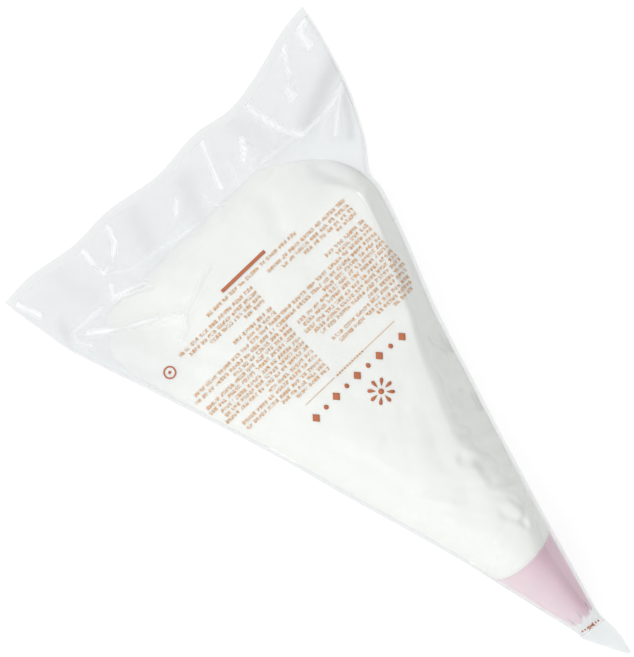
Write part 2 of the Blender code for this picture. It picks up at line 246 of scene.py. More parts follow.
# Creases in the film that lies on the cream, in the same terms. Most have no marks.
BODY_FOLDS = (
    (((13.6, 121), (0, 119), (-14, 116)), 0.6, 2.4),
    (((17.7, 118), (6.7, 108)), 0.7, 2.2),
    (((20.5, 124), (12.0, 112)), 0.6, 2.2),
    (((-33, 119), (-22, 112)), 0.8, 2.2),
    (((-36, 126), (-27, 121)), 0.5, 2.0),
    (((-81, 381), (-58, 369), (-26, 380)), 0.8, 5.0, 0.3, 0.0),
    (((-73.5, 379), (-58, 369.5), (-64, 361), (-72, 358)), 0.7, 4.0, 0.3, 0.0),
    (((72, 378), (84, 352)), -1.6, 6.0),
    (((34, 384), (31, 377), (26, 366)), -1.6, 8.0),
    (((-2, 222), (-20, 190)), -0.7, 7.0),
    (((12, 214), (-4, 178)), -0.6, 6.0),
    (((-45, 219), (-22, 220)), 0.35, 3.0),
    (((-28, 172), (-24, 166)), 0.5, 2.5),
    (((-21, 163), (-17, 158)), 0.5, 2.5),
    # fine pulls of the film round the nozzle's rim
    (((17.5, 114), (20.5, 124), (21, 133)), -0.6, 2.2),
    (((13.5, 110), (15.5, 121), (14, 131)), -0.5, 2.2),
    (((8.5, 106), (8, 117), (3, 127)), -0.5, 2.4),
    (((-23, 104), (-27, 112), (-35, 117)), 0.5, 2.2),
    (((-14, 101), (-17, 108), (-24, 115)), -0.4, 2.2),
    # dents and slanting folds of the right flank
    (((52, 246), (51, 238), (54, 230)), -3.2, 7.0),
    (((43, 231), (44, 222)), -2.4, 5.0),
    (((36, 207), (38, 199), (44, 193)), -2.8, 6.0),
    (((28, 194), (36, 188), (43, 186)), -1.7, 4.0),
    (((9, 172), (16, 163), (27, 158)), -1.7, 4.5),
    (((12, 148), (20, 138), (28, 135)), -1.0, 4.0),
    (((4, 130), (12, 122), (21, 119)), -0.6, 3.5),
    (((20, 182), (28, 174), (35, 172)), -1.0, 3.5),
    (((14, 157), (22, 149), (30, 148)), -0.9, 3.5),
    (((60, 270), (66, 258)), -1.4, 7.0),
    (((72, 300), (77, 290)), -1.0, 6.0),
)

# Shoulder line of the steep right flank: s, x. The plateau beside it drops by a share of the
# height, and both run into each other over a soft edge.
SHOULDER_SHARE = 0.82
SHOULDER_DROP = 0.045
SHOULDER_SOFT = 6.0
SHOULDER = (
    (95.0, -14.0),
    (113.0, -9.0),
    (153.0, 7.0),
    (194.0, 19.0),
    (240.0, 37.0),
    (286.0, 60.0),
    (342.0, 83.0),
    (380.0, 84.0),
)


# ---- measuring the bag

def smooth_row(rows, place):
    """Row of a table at a place in its first column, on a smooth curve through the rows."""
    last = len(rows) - 1
    index = 0
    while index < last - 1 and place > rows[index + 1][0]:
        index += 1
    before, low = rows[max(index - 1, 0)], rows[index]
    high, after = rows[index + 1], rows[min(index + 2, last)]
    span = high[0] - low[0]
    t = min(max((place - low[0]) / span, 0.0), 1.0)
    result = []
    for a, b, c, d in zip(before, low, high, after):
        start_slope = (c - a) / (high[0] - before[0])
        end_slope = (d - b) / (after[0] - low[0])
        result.append(
            (2 * t**3 - 3 * t**2 + 1) * b
            + (t**3 - 2 * t**2 + t) * span * start_slope
            + (3 * t**2 - 2 * t**3) * c
            + (t**3 - t**2) * span * end_slope
        )
    return result


class Track:
    """A table as a smooth curve that whole arrays of places can be looked up on."""

    def __init__(self, rows, step=0.5):
        self.places = np.arange(rows[0][0], rows[-1][0] + step, step)
        self.values = np.array([smooth_row(rows, place) for place in self.places])

    def at(self, place):
        """The columns after the first one, at each place."""
        columns = range(1, self.values.shape[1])
        found = [np.interp(place, self.places, self.values[:, c]) for c in columns]
        return found[0] if len(found) == 1 else found


def ramp(value, start, end):
    """0 before start, 1 after end, straight between."""
    return np.clip((value - start) / (end - start), 0.0, 1.0)


def ease(value, start, end):
    """0 before start, 1 after end, with soft ends."""
    t = ramp(value, start, end)
    return t * t * (3.0 - 2.0 * t)


def bulge_on_cone(s):
    """Bulge of the film where it is stretched round the nozzle."""
    run = s - CONE_APEX_S
    slope = math.tan(CONE_ANGLE)
    half = run * slope / math.sqrt(1.0 - slope**2) + FILM_ROUND_NOZZLE
    top = run * math.tan(2.0 * CONE_ANGLE) + CONE_LIFT + FILM_ROUND_NOZZLE
    return (s, CONE_X - half, CONE_X + half, top, top / 2.0, 0.0, 2.0)


def bulge_rows():
    """The filled tube from the neck over the nozzle's cone to its end."""
    low, high = TAIL_FOLD_Z - SHEET_GAP, TAIL_FOLD_Z + SHEET_GAP
    neck = (
        (28.0, -15.4, 2.2, high, TAIL_FOLD_Z, low, 2.0),
        (33.0, -15.2, 2.0, 9.8, 5.2, 0.3, 2.0),
    )
    cone = tuple(bulge_on_cone(s) for s in CONE_ROWS)
    return neck + cone + BULGE_BEHIND_NOZZLE


EDGES = Track(OUTLINE)
TUBE = Track(bulge_rows())
MOUTH = Track(MOUTH_EDGE)
SHOULDER_LINE = Track(SHOULDER)


def weld_width(s):
    """Width of the welded margin on each side."""
    return WELD_AT_NOZZLE + (WELD_AT_BAG - WELD_AT_NOZZLE) * ramp(s, ROUND_BOTTOM_S, FLAT_BOTTOM_S)


def skewed(x, s):
    """Distance from the tip after the neck's rows are turned parallel to the tail's fold."""
    return s - TAIL_SKEW * (x - TAIL_FOLD_X) * (1.0 - ramp(s, TAIL_FOLD_S, TAIL_STRAIGHT_S))


def section(s, u, up, inset):
    """The filled tube at s: u runs from -1 at the left end of its bulge to 1 at the right."""
    left, right, top, seam, floor, square = TUBE.at(s)
    floor = np.maximum(floor, 0.0)
    angle = np.pi * (1.0 - u) / 2.0
    power = 2.0 / np.where(u > 0, square, 2.0)
    across = np.abs(np.cos(angle)) ** power * np.sign(np.cos(angle))
    soften = 1.0 + 0.9 * ease(s, 325.0, 385.0)
    rise = np.clip(np.sin(angle), 0.0, 1.0) ** (power * soften)
    x = (left + right) / 2.0 + ((right - left) / 2.0 - inset) * across
    foot = SHEET_GAP if inset == 0.0 else 0.0
    flat = 1.0 + (FLAT_BOTTOM - 1.0) * ramp(s, ROUND_BOTTOM_S, FLAT_BOTTOM_S)
    if up:
        z = seam + foot + (top - inset - seam - foot) * rise
        return shouldered(s, u, x, z, (left, right, top - inset, seam + foot), inset)
    return x, seam - foot - (seam - foot - floor - inset) * np.minimum(1.0, flat * rise)


def shouldered(s, u, x, z, tube, inset):
    """Gives the right half of a section a flat top, a shoulder and a steep flank."""
    left, right, top, seam = tube
    share = ease(s, 122.0, 185.0) * (1.0 - ease(s, 345.0, 385.0)) * SHOULDER_SHARE
    middle, end = (left + right) / 2.0, right - inset
    line = np.minimum(SHOULDER_LINE.at(s), end - 4.0)
    inside, outside = middle + (line - middle) * u * 2.0, line + (end - line) * (u * 2.0 - 1.0)
    x_new = np.where(u < 0.5, inside, outside)
    drop = (top - seam) * SHOULDER_DROP
    plateau = top - drop * np.clip((x_new - middle) / (line - middle), 0.0, None) ** 2
    lean = np.clip((x_new - line) / (end - line), -1.0, 1.0)
    flank = seam + (top - drop - seam) * (1.0 - np.sign(lean) * np.abs(lean) ** 1.1)
    gap = np.clip((SHOULDER_SOFT - np.abs(plateau - flank)) / SHOULDER_SOFT, 0.0, None)
    z_new = np.maximum(np.minimum(plateau, flank) - gap**2 * SHOULDER_SOFT / 4.0, seam)
    share = np.where(u > 0.0, share, 0.0)
    return x + (x_new - x) * share, z + (z_new - z) * share


def flap_height(x, s):
    """Height of the empty flap's middle plane, which lies in shallow waves."""
    rise = ramp(s, FLAP_FOLD_S, LENGTH) ** 1.5
    return FLAP_FOLD_Z + rise * (1.5 + 2.0 * np.sin(x / 22.0))


def distance_to(x, s, points):
    """Distance from each point of the film to a crease drawn as a chain of straight runs."""
    nearest = np.full_like(x, 1e6)
    for (x0, s0), (x1, s1) in zip(points, points[1:]):
        run_x, run_s = x1 - x0, s1 - s0
        along = np.clip(((x - x0) * run_x + (s - s0) * run_s) / (run_x**2 + run_s**2), 0.0, 1.0)
        nearest = np.minimum(nearest, np.hypot(x - x0 - along * run_x, s - s0 - along * run_s))
    return nearest


def fold_relief(x, s, folds):
    """Height that creases add at each point: a slope up to each crest, rounded at the top."""
    total = np.zeros_like(x)
    for points, height, width, *_ in folds:
        off = distance_to(x, s, points) / width
        crest = min(0.6, 2.4 / width)
        tent = np.clip(1.0 + crest - np.sqrt(off**2 + crest**2), 0.0, 1.0)
        total += height * tent**1.25
    return total


def crease_whitening_and_highlight(x, s, folds):
    """Whitening of the film along sharp crests, partly stress whitening and partly painted highlight, from
    0 to 1.
    """
    white = np.zeros_like(x)
    for points, _, _, *marks in folds:
        if marks and marks[0] > 0.0:
            patchy = 0.85 + 0.2 * ripple(x, s, 31, 30.0)
            line = np.exp(-((distance_to(x, s, points) / CREST_WIDTH) ** 2))
            white = np.maximum(white, marks[0] * patchy * line)
    return np.clip(white, 0.0, 1.0)


def painted_fold_shade(x, s, folds):
    """Painted shade beside a crease, where the film leans steeply, from 0 to 1."""
    shade = np.zeros_like(x)
    for points, _, width, _, strength in folds:
        if strength > 0.0:
            off = distance_to(x, s, points) / width
            shade = np.maximum(shade, strength * np.exp(-(off**2) * 1.6))
    return shade


def ripple(x, s, seed, length, count=14):
    """Smooth random waves of about that length, from -1 to 1."""
    chance = random.Random(seed)
    total = np.zeros_like(x)
    for _ in range(count):
        turn, shift = chance.uniform(0, math.pi), chance.uniform(0, 2 * math.pi)
        size = length * chance.uniform(0.7, 1.6)
        wave = (x * math.cos(turn) + s * math.sin(turn)) * 2 * math.pi / size + shift
        total += np.sin(wave)
    return total / math.sqrt(count)


def left_puckers():
    """Small puckers along the left weld."""
    chance = random.Random(11)
    folds = []
    s = 116.0
    while s < 345.0:
        edge = float(EDGES.at(s)[0]) + 5.0
        length = chance.uniform(4.0, 11.0)
        points = ((edge, s), (edge + length, s - length * 0.35))
        folds.append((points, chance.choice((0.4, -0.5)), 2.6))
        s += chance.uniform(9.0, 19.0)
    return tuple(folds)


PUCKERS = left_puckers()


def body_relief(x, s, up):
    """How far the cream pushes the film out or lets it sink in, in millimetres."""
    if not up:
        return np.zeros_like(x)
    held = ease(s, 96.0, 112.0) * (1.0 - ease(s, 392.0, 404.0))
    waves = 0.45 * ripple(x, s, 3, 46.0) + 0.16 * ripple(x, s, 4, 17.0)
    near_tip = 1.0 - ease(s, 150.0, 240.0)
    on_flank = ease(x - SHOULDER_LINE.at(s), -8.0, 6.0)
    waves += near_tip * (0.16 + 0.34 * on_flank) * ripple(x * 0.6 + s * 0.5, s * 0.4, 5, 7.0)
    folds = fold_relief(x, s, BODY_FOLDS) + fold_relief(x, s, PUCKERS)
    return held * (waves + folds)


def flap_relief(x, s, up):
    """Ridges and waves of the empty film between the cream and the mouth."""
    free = ease(s, 384.0, 404.0)
    corner = ease(np.abs(x + 6.0), 96.0, 112.0) * ease(s, 352.0, 372.0)
    waves = 0.45 * ripple(x, s, 6 if up else 7, 40.0) + 0.03 * ripple(x, s, 8 if up else 9, 15.0)
    folds = fold_relief(x, s, FLAP_FOLDS)
    at_fold = 1.0 - 0.75 * np.exp(-((s - FLAP_FOLD_S) / 5.0) ** 2)
    return np.maximum(free, corner) * (waves + folds * (0.3 if up else 0.2)) * at_fold


def nozzle_relief(x, s):
    """Fine pulls of the film where it is gathered behind the tail's fold."""
    gathered = ease(s, 29.0, 33.0) * (1.0 - ease(s, 40.0, 52.0))
    return gathered * 0.14 * np.sin((x - CONE_X) * 1.9 + s * 0.25)


# ---- building meshes

def shaped_grid(columns, rows, shape, fine_from=None):
    """A grid whose points are moved to where shape puts them, for u and v from 0 to 1.

    From v = fine_from onwards every cell is cut into four first.
    """
    builder = bmesh.new()
    bmesh.ops.create_grid(builder, x_segments=columns, y_segments=rows, size=1.0)
    if fine_from is not None:
        border = fine_from * 2.0 - 1.0
        fine = [edge for edge in builder.edges if min(v.co.y for v in edge.verts) >= border]
        bmesh.ops.subdivide_edges(builder, edges=fine, cuts=1, use_grid_fill=True)
    flat = np.array([vert.co[:2] for vert in builder.verts]) * 0.5 + 0.5
    for vert, point in zip(builder.verts, shape(flat[:, 0], flat[:, 1])):
        vert.co = point
    return builder


def add_piece(name, builder, material, body=None, smooth_angle=40.0):
    """Turns a bmesh into a finished object at the origin."""
    mesh = bpy.data.meshes.new(name)
    builder.to_mesh(mesh)
    builder.free()
    mesh.shade_smooth()
    mesh.set_sharp_from_angle(angle=math.radians(smooth_angle))
    mesh.materials.append(material)
    piece = bpy.data.objects.new(name, mesh)
    bpy.context.scene.collection.objects.link(piece)
    if body:
        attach(piece, body)
    return piece


def ruler_places(verts):
    """x and s of mesh points, as arrays."""
    return on_ruler(*np.array([vert.co[:] for vert in verts]).T)[:2]


def store(piece, name, values):
    """Stores a value from 0 to 1 at each point of a piece, for its material to read."""
    layer = piece.data.attributes.new(name, "FLOAT", "POINT")
    layer.data.foreach_set("value", np.clip(values, 0.0, 1.0).astype(np.float32))


def give_wall(piece, thickness, offset=-1.0):
    """Thickens a sheet, inwards unless the offset says otherwise."""
    wall = piece.modifiers.new("wall", "SOLIDIFY")
    wall.thickness = thickness * MM
    wall.offset = offset
    wall.use_even_offset = False


def settings():
    """The user's sizes and colours."""
    return bpy.context.scene.piping_bag


def bend_at_flap(piece):
    """Bakes the piece's placement into its mesh; the film is not bent at the flap's fold here."""
    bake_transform(piece)


def past_fold(s, t, end):
    """s up to the flap's fold, then on to end as t goes from 0 to 1."""
    return np.where(t > 0, (1 - t) * FLAP_FOLD_S + t * end, s)


def flap_rise(x, s, t):
    """How much higher than the flap's fold the flap lies."""
    return np.where(t > 0, flap_height(x, s) - FLAP_FOLD_Z, 0.0)


def sheet_station(v, depth):
    """s, share of the flap and both edges of the bag, for v from 0 at the tail to 1."""
    s = TAIL_FOLD_S + (FLAP_FOLD_S - TAIL_FOLD_S) * np.clip(v / FLAT_SHARE, 0.0, 1.0)
    t = np.clip((v - FLAT_SHARE) / (1.0 - FLAT_SHARE), 0.0, 1.0)
    left = EDGES.at(past_fold(s, t, MOUTH_EDGE[0][1] - depth))[0]
    right = EDGES.at(past_fold(s, t, MOUTH_EDGE[-1][1] - depth))[1]
    return s, t, left, right


def film_shape(up, depth):
    """Placing function for one sheet, from the tail's fold to the mouth's seal."""
    def shape(u, v):
        s, t, left, right = sheet_station(v, depth)
        inner_left, inner_right = left + weld_width(s), right - weld_width(s)
        arc = np.clip((u - MARGIN_SHARE) / (1.0 - 2.0 * MARGIN_SHARE), 0.0, 1.0) * 2.0 - 1.0
        x_arc, z = section(s, arc, up, 0.0)
        near, far = (section(s, end * np.ones_like(s), up, 0.0)[0] for end in (-1.0, 1.0))
        x = np.where(u < MARGIN_SHARE, inner_left + (near - inner_left) * u / MARGIN_SHARE, x_arc)
        last = (u - 1.0 + MARGIN_SHARE) / MARGIN_SHARE
        x = np.where(u > 1.0 - MARGIN_SHARE, far + (inner_right - far) * last, x)
        s = past_fold(s, t, MOUTH.at(x) - depth)
        z = z + flap_rise(x, s, t)
        apart = SHEET_GAP * (1.0 if up else -1.0)
        to_weld = np.minimum(x - inner_left, inner_right - x)
        to_seal = (1.0 - t) * (LENGTH - FLAP_FOLD_S - depth)
        closing = ease(np.minimum(to_weld, to_seal), 0.0, 3.5)
        closing = closing * ease(s, TAIL_FOLD_S, TAIL_FOLD_S + 3.0)
        z = z - apart * (1.0 - closing) * 0.75
        z = z + flap_relief(x, s, up) * closing
        s = np.where(v < FLAT_SHARE, skewed(x, s), s)
        return placed(x, s, z)
    return shape


def push_out(builder, up):
    """Moves a sheet's points along their normals by the relief of what lies under it."""
    builder.normal_update()
    x, s = ruler_places(builder.verts)
    push = body_relief(x, s, up) + nozzle_relief(x, s)
    left, right = EDGES.at(s)
    inner = np.minimum(x - left, right - x) - weld_width(s)
    push *= ease(inner, 0.0, 4.0)
    for vert, amount in zip(builder.verts, push):
        vert.co += vert.normal * float(amount) * MM


def film_sheet(name, up, material):
    """One whole sheet of the bag, with its marks and its thickness."""
    looks = settings()
    shape = film_shape(up, looks.seal_width / MM)
    builder = shaped_grid(looks.film_columns, looks.film_rows, shape, fine_from=0.72)
    if not up:
        bmesh.ops.reverse_faces(builder, faces=builder.faces)
    push_out(builder, up)
    piece = add_piece(name, builder, material, smooth_angle=180.0)
    film_attributes(piece, up)
    give_wall(piece, looks.film_thickness / MM)
    return piece


def film_attributes(piece, up):
    """Stores where film is smeared with cream or painted lighter over the nozzle's lit side, whitened
    along creases with painted highlights, and darkened by painted shade beside folds.
    """
    x, s = ruler_places(piece.data.vertices)
    patchy = 0.85 + 0.12 * ripple(x, s, 21, 24.0)
    left_smear = ease(-x, 62.0, 92.0) * (1.0 - ease(s + 0.2 * x, 362.0, 394.0))
    left_smear = left_smear * ease(s, 310.0, 348.0)
    right_smear = ease(x, 26.0, 60.0) * (1.0 - ease(s, 386.0, 412.0)) * ease(s, 340.0, 368.0)
    past_end = ease(s, 390.0, 402.0) * (1.0 - ease(s + 3.0 * ripple(x, s, 22, 20.0), 402.0, 422.0))
    past_end *= 1.0 - ease(np.abs(x + 6.0), 50.0, 74.0)
    milk_and_painted_light = np.maximum(np.maximum(left_smear, right_smear), past_end) * patchy
    # Over the nozzle the film is whitened on the cone's left side as painted light on its lit side, and
    # along the neck.
    beside = (x - CONE_X) / np.maximum((s - CONE_APEX_S) * math.tan(CONE_ANGLE), 4.0)
    nozzle_lit_side_and_neck = np.maximum(1.0 - ease(beside, -0.8, 0.5), 1.0 - ease(s, 36.0, 48.0))
    milk_and_painted_light = np.maximum(milk_and_painted_light, nozzle_lit_side_and_neck * (1.0 - ease(s, 98.0, 112.0)))
    # Whitening along the crests: partly stress whitening, partly painted highlight.
    white = crease_whitening_and_highlight(x, s, FLAP_FOLDS + BODY_FOLDS)
    # Painted highlight at the corner's curl, added to the crest whitening on the front sheet only.
    painted_glare = np.exp(-(distance_to(x, s, CORNER_PAINTED_GLARE) / 2.2) ** 2)
    white = np.maximum(white, 0.8 * painted_glare) * (1.0 if up else 0.0)
    # Painted shade beside the flap's folds; a little grey also where thin cream lies under the film at the
    # left corner.
    shade = np.maximum(painted_fold_shade(x, s, FLAP_FOLDS), 0.15 * left_smear)
    store(piece, "milk_and_painted_light", milk_and_painted_light)
    store(piece, "crest", white)
    store(piece, "shade", shade)


# ---- materials

def new_material(name):
    """A material with nothing but its output, and its nodes."""
    material = bpy.data.materials.new(name)
    material.use_nodes = True
    nodes = material.node_tree.nodes
    for node in list(nodes):
        if node.type != "OUTPUT_MATERIAL":
            nodes.remove(node)
    return material, nodes


def link(output, socket):
    """Links two sockets of one node tree."""
    output.id_data.links.new(output, socket)


def add_node(nodes, kind, **values):
    """A node with the given settings and inputs; _ stands for a space in an input's name."""
    node = nodes.new(kind)
    for key, value in values.items():
        if hasattr(node, key):
            setattr(node, key, value)
        else:
            node.inputs[key.replace("_", " ")].default_value = value
    return node


def math_node(nodes, operation, first, second):
    """A Math node with each input either a socket or a number."""
    node = add_node(nodes, "ShaderNodeMath", operation=operation)
    for index, value in enumerate((first, second)):
        if isinstance(value, (int, float)):
            node.inputs[index].default_value = value
        else:
            link(value, node.inputs[index])
    return node.outputs[0]


def scaled(nodes, value, factor, extra=0.0):
    """Value times factor plus extra."""
    socket = math_node(nodes, "MULTIPLY_ADD", value, factor)
    socket.node.inputs[2].default_value = extra
    return socket


def attribute(nodes, name):
    """Values that were stored at a piece's points."""
    return add_node(nodes, "ShaderNodeAttribute", attribute_name=name).outputs["Fac"]


def noise(nodes, scale, detail, roughness):
    """Noise on the piece's own coordinates."""
    cloud = add_node(nodes, "ShaderNodeTexNoise", Scale=scale, Detail=detail, Roughness=roughness)
    link(nodes.new("ShaderNodeTexCoord").outputs["Object"], cloud.inputs["Vector"])
    return cloud.outputs["Fac"]


def add_bump(nodes, shader, height, strength, distance):
    """Gives a shader a fine relief."""
    relief = add_node(nodes, "ShaderNodeBump", Strength=strength, Distance=distance)
    link(height, relief.inputs["Height"])
    link(relief.outputs["Normal"], shader.inputs["Normal"])


def mixed(nodes, share, first, second):
    """The first shader with that share of the second one."""
    mix = nodes.new("ShaderNodeMixShader")
    link(share, mix.inputs["Fac"])
    link(first.outputs[0], mix.inputs[1])
    link(second.outputs[0], mix.inputs[2])
    return mix


def film_material(name, haze, tint, marked=True):
    """Clear glossy film: see-through face on, mirror-like at a slant, slightly hazy.

    Marked film also reads from its points where it is milky or painted lighter, whitened along creases
    with painted highlights, or darkened by painted shade.
    """
    material, nodes = new_material(name)
    clear = add_node(nodes, "ShaderNodeBsdfTransparent", Color=(*tint, 1.0))
    white = add_node(nodes, "ShaderNodeBsdfDiffuse", Color=(0.93, 0.945, 0.945, 1.0))
    gloss = add_node(nodes, "ShaderNodeBsdfAnisotropic", Color=(1.0, 1.0, 1.0, 1.0),
                     Roughness=settings().film_roughness)
    facing = add_node(nodes, "ShaderNodeLayerWeight", Blend=0.5)
    slant = math_node(nodes, "POWER", facing.outputs["Facing"], 4.5)
    mirror = scaled(nodes, slant, 0.35, settings().film_reflection)
    cloudy = scaled(nodes, noise(nodes, 38.0, 3.0, 0.5), haze, haze * 0.5)
    if marked:
        # Cream smear, painted light over the nozzle's lit side, crease whitening and painted highlights
        # all whiten the film.
        for mark, share in (("milk_and_painted_light", 0.17), ("crest", 0.85)):
            whiter = scaled(nodes, attribute(nodes, mark), share)
            cloudy = math_node(nodes, "ADD", cloudy, whiter)
        # Painted shade: the film's see-through colour is darkened where the stored shade is set.
        painted_shade_tint = add_node(nodes, "ShaderNodeMix", data_type="RGBA", A=(*tint, 1.0),
                        B=(*(c * 0.90 for c in tint), 1.0))
        link(attribute(nodes, "shade"), painted_shade_tint.inputs["Factor"])
        link(painted_shade_tint.outputs["Result"], clear.inputs["Color"])
    add_bump(nodes, gloss, noise(nodes, 120.0, 1.0, 0.45), 0.08, 0.0004)
    surface = mixed(nodes, mirror, mixed(nodes, cloudy, clear, white), gloss)
    link(surface.outputs[0], nodes["Material Output"].inputs["Surface"])
    return material


def solid_material(name, colour, roughness, noise_scale, noise_mix, bump, bump_scale, **sockets):
    """Principled finish with a soft colour variation and a fine bump on object coordinates."""
    material, nodes = new_material(name)
    shader = add_node(nodes, "ShaderNodeBsdfPrincipled", Roughness=roughness, **sockets)
    shades = nodes.new("ShaderNodeValToRGB")
    dark, full = shades.color_ramp.elements
    dark.position, full.position = 0.3, 0.7
    dark.color = (*(c * (1.0 - noise_mix) for c in colour), 1.0)
    full.color = (*colour, 1.0)
    link(noise(nodes, noise_scale, 4.0, 0.55), shades.inputs["Fac"])
    link(shades.outputs["Color"], shader.inputs["Base Color"])
    add_bump(nodes, shader, noise(nodes, bump_scale, 3.0, 0.5), bump, 0.0005)
    link(shader.outputs[0], nodes["Material Output"].inputs["Surface"])
    return material


def grey_where_thin(material):
    """Greys a finish where the piece's attribute "thin" says that little cream backs the film."""
    nodes = material.node_tree.nodes
    colour = nodes["Principled BSDF"].inputs["Base Color"]
    grey = add_node(nodes, "ShaderNodeMix", data_type="RGBA", blend_type="MULTIPLY",
                    B=(0.925, 0.942, 0.965, 1.0))
    link(attribute(nodes, "thin"), grey.inputs["Factor"])
    link(colour.links[0].from_socket, grey.inputs["A"])
    link(grey.outputs["Result"], colour)


# ---- properties

def amount(name, description, default, low=0.0, **more):
    """A number that has no fixed upper end."""
    return FloatProperty(name=name, description=description, default=default, min=low, **more)


def colour(name, description, default):
    """A colour, as linear red, green and blue."""
    return FloatVectorProperty(
        name=name, description=description, default=default, subtype="COLOR", min=0.0, max=1.0)


class PipingBagSettings(bpy.types.PropertyGroup):
    """Sizes and colours of the bag that a user may change."""
    film_thickness: amount(
        "Film thickness", "Thickness of one sheet of film", 0.00012, 0.00005, unit="LENGTH",
        precision=5)
    film_rows: IntProperty(
        name="Film rows", description="Rows of faces along each sheet", default=200, min=40)
    film_columns: IntProperty(
        name="Film columns", description="Columns of faces across each sheet", default=126, min=20)
    film_roughness: amount(
        "Film roughness", "Blur of the film's highlights", 0.07, max=1.0, subtype="FACTOR")
    film_reflection: amount(
        "Film reflection", "Mirror share of the film seen face on", 0.035, max=1.0,
        subtype="FACTOR")
    seal_width: amount("Seal width", "Width of the mouth's heat seal", 0.006, 0.002, unit="LENGTH")
    flap_bend: amount(
        "Flap bend", "Half the width over which the film bends at the flap's fold", 0.008, 0.002,
        unit="LENGTH")
    cream_colour: colour("Cream colour", "Colour of the whipped cream", (0.945, 0.940, 0.900))
    nozzle_colour: colour("Nozzle colour", "Colour of the moulded nozzle", (0.86, 0.59, 0.68))
    ink_colour: colour("Ink colour", "Colour of the solid printed shapes", (0.48, 0.135, 0.05))
    small_print_colour: colour(
        "Small print colour", "Colour of the small printed marks", (0.72, 0.37, 0.13))
    key_power: amount("Key light", "Power of the soft light from the left", 1.7, unit="POWER")
    glint_power: amount(
        "Glint lights", "Power of each small light that makes the film glint", 0.25, unit="POWER")
    sky_bright: amount("Room light", "Brightness of the room above and on the left", 1.20)
    sky_dark: amount("Dark side", "Brightness of the room low on the right", 0.21)
    floor_glow: amount(
        "Floor glow", "Light given off by the floor, which keeps shadows pale", 0.76)


# ---- operators

class PIPINGBAG_OT_film(bpy.types.Operator):
    """Build the two clear sheets of the bag, from the tail's fold to the mouth's seal"""
    bl_idname = "piping_bag.film"
    bl_label = "Film Sheets"

    def execute(self, context):
        clear = film_material("clear film", 0.040, (0.955, 0.960, 0.962))
        front = film_sheet("front_sheet", True, clear)
        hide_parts("front_film", "mouth_flap_front")
        back = film_sheet("back_sheet", False, clear)
        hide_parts("back_film", "mouth_flap_back")
        for piece in (front, back):
            bend_at_flap(piece)
        return {"FINISHED"}


def weld_shape(side, depth):
    """Placing function for the fused margin on one side, from the tail's fold to the mouth."""
    def shape(u, v):
        s, t, left, right = sheet_station(v, depth)
        width = weld_width(s)
        x = left + width * u if side == 0 else right - width * (1.0 - u)
        corner = MOUTH_EDGE[-side][1] - depth
        s = past_fold(s, t, corner)
        seam = TUBE.at(np.minimum(s, FLAP_FOLD_S))[3]
        z = seam + flap_rise(x, s, t)
        outward = np.abs(u - (1.0 if side == 0 else 0.0))
        frill = 0.22 * np.sin(s * 0.55) * outward * ease(s, 110.0, 140.0)
        return placed(x, np.where(v < FLAT_SHARE, skewed(x, s), s), z + frill)
    return shape


def seal_shape(width):
    """Placing function for the band that closes the mouth."""
    def shape(u, v):
        narrow = 1.0 - v
        x = (MOUTH_EDGE[0][0] + narrow) * (1.0 - u) + (MOUTH_EDGE[-1][0] - narrow) * u
        s = MOUTH.at(x) - width * narrow
        return placed(x, s, flap_height(x, s) + 0.05 * np.sin(v * math.pi * 6.0))
    return shape


class PIPINGBAG_OT_welds(bpy.types.Operator):
    """Build the two welded side margins and the heat seal across the mouth"""
    bl_idname = "piping_bag.welds"
    bl_label = "Welds and Seal"

    def execute(self, context):
        looks = settings()
        width = looks.seal_width / MM
        fused = film_material("fused film", 0.05, (0.910, 0.916, 0.918), marked=False)
        sides = (("left_weld", ("left_side_weld", "left_flap_weld")),
                 ("right_weld", ("right_side_weld", "right_flap_weld")))
        for side, (name, nodes) in enumerate(sides):
            builder = shaped_grid(4, 300, weld_shape(side, width))
            weld = add_piece(name, builder, fused)
            give_wall(weld, 2.0 * looks.film_thickness / MM, 0.0)
            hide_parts(*nodes)
            bend_at_flap(weld)
        seal = add_piece("mouth_seal", shaped_grid(180, 12, seal_shape(width)), fused, "mouth_flap")
        give_wall(seal, 2.0 * looks.film_thickness / MM, 0.0)
        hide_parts("mouth_heat_seal")
        return {"FINISHED"}


def cone_matrix():
    """Frame of the nozzle's cone: its own +Z runs from the apex along the axis to the rim."""
    turn = Vector((0, 0, 1)).rotation_difference(NOZZLE_AXIS)
    return Matrix.Translation(CONE_APEX) @ turn.to_matrix().to_4x4()


def stem_points(u, slant):
    """Points of the cream's stem inside the nozzle: u goes round, slant along the cone."""
    angle = math.pi * (1.0 - 2.0 * u)
    radius = slant * math.sin(CONE_ANGLE) - (NOZZLE_WALL + STEM_CLEARANCE) / math.cos(CONE_ANGLE)
    ring = (radius * np.cos(angle) * MM, -radius * np.sin(angle) * MM,
            slant * math.cos(CONE_ANGLE) * MM, np.ones_like(u))
    return (np.stack(ring, axis=-1) @ np.array(cone_matrix()).T)[:, :3]


def body_points(u, share):
    """Points of the cream behind the nozzle, whose first rows lean like the nozzle's rim."""
    rim_s = CONE_APEX_S + RIM_SLANT * math.cos(CONE_ANGLE) ** 2
    s0 = rim_s + CREAM_BEHIND_RIM + (CREAM_END_S - rim_s - CREAM_BEHIND_RIM) * share
    slope = math.tan(CONE_ANGLE) * (1.0 - ramp(s0, rim_s, UPRIGHT_S))
    top_half = u <= 0.5
    arc = np.where(top_half, 4.0 * u - 1.0, 3.0 - 4.0 * u)
    middle = TUBE.at(s0)[2] / 2.0
    at = s0
    for _ in range(2):
        x_up, z_up = section(at, arc, True, CREAM_INSET)
        x_down, z_down = section(at, arc, False, CREAM_INSET)
        x, z = np.where(top_half, x_up, x_down), np.where(top_half, z_up, z_down)
        at = s0 - slope * (z - middle)
    return placed(x, at, z)


